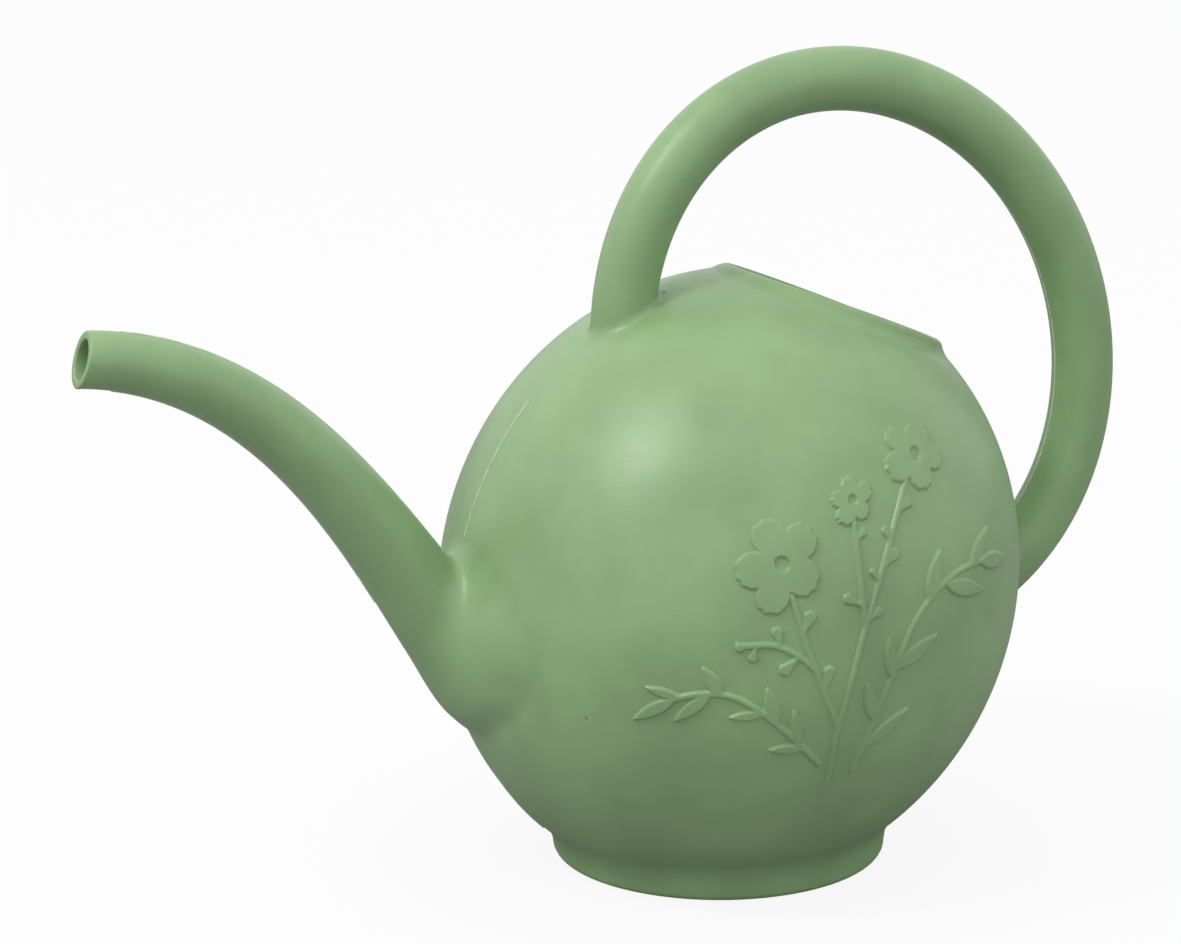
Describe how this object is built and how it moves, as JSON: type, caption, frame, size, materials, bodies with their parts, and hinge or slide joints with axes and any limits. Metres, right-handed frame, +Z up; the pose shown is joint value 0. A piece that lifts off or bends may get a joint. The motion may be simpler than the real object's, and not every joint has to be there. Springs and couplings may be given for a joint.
{
  "type": "watering can",
  "caption": "Blow-moulded plastic watering can: round leaning body on a low foot, open slanted filler mouth, swan-neck spout, hooped tube handle and raised flowers.",
  "frame": {"origin": "middle of the can's box seen from above, on the ground under the foot", "axes": "+Z up, -X towards the spout, +X towards the handle, +Y to the right of someone pouring; the can is symmetric about Y = 0"},
  "size_m": [0.3408, 0.1818, 0.2533],
  "materials": {
    "moulded_polyethylene": "satin sage green blow-moulded polyethylene with a fine moulded skin, through-coloured"
  },
  "bodies": {
    "root": {"foot_ring": "moulded_polyethylene", "base_panel": "moulded_polyethylene", "body_left_half": "moulded_polyethylene", "body_right_half": "moulded_polyethylene", "filler_collar": "moulded_polyethylene", "spout_root": "moulded_polyethylene", "spout_neck": "moulded_polyethylene", "spout_tip": "moulded_polyethylene", "handle_front_leg": "moulded_polyethylene", "handle_grip": "moulded_polyethylene", "handle_rear_leg": "moulded_polyethylene", "left_large_flower": "moulded_polyethylene", "left_medium_flower": "moulded_polyethylene", "left_small_flower": "moulded_polyethylene", "left_flower_stems": "moulded_polyethylene", "left_front_sprig": "moulded_polyethylene", "left_rear_sprig": "moulded_polyethylene", "right_large_flower": "moulded_polyethylene", "right_medium_flower": "moulded_polyethylene", "right_small_flower": "moulded_polyethylene", "right_flower_stems": "moulded_polyethylene", "right_front_sprig": "moulded_polyethylene", "right_rear_sprig": "moulded_polyethylene"}
  },
  "joints": []
}
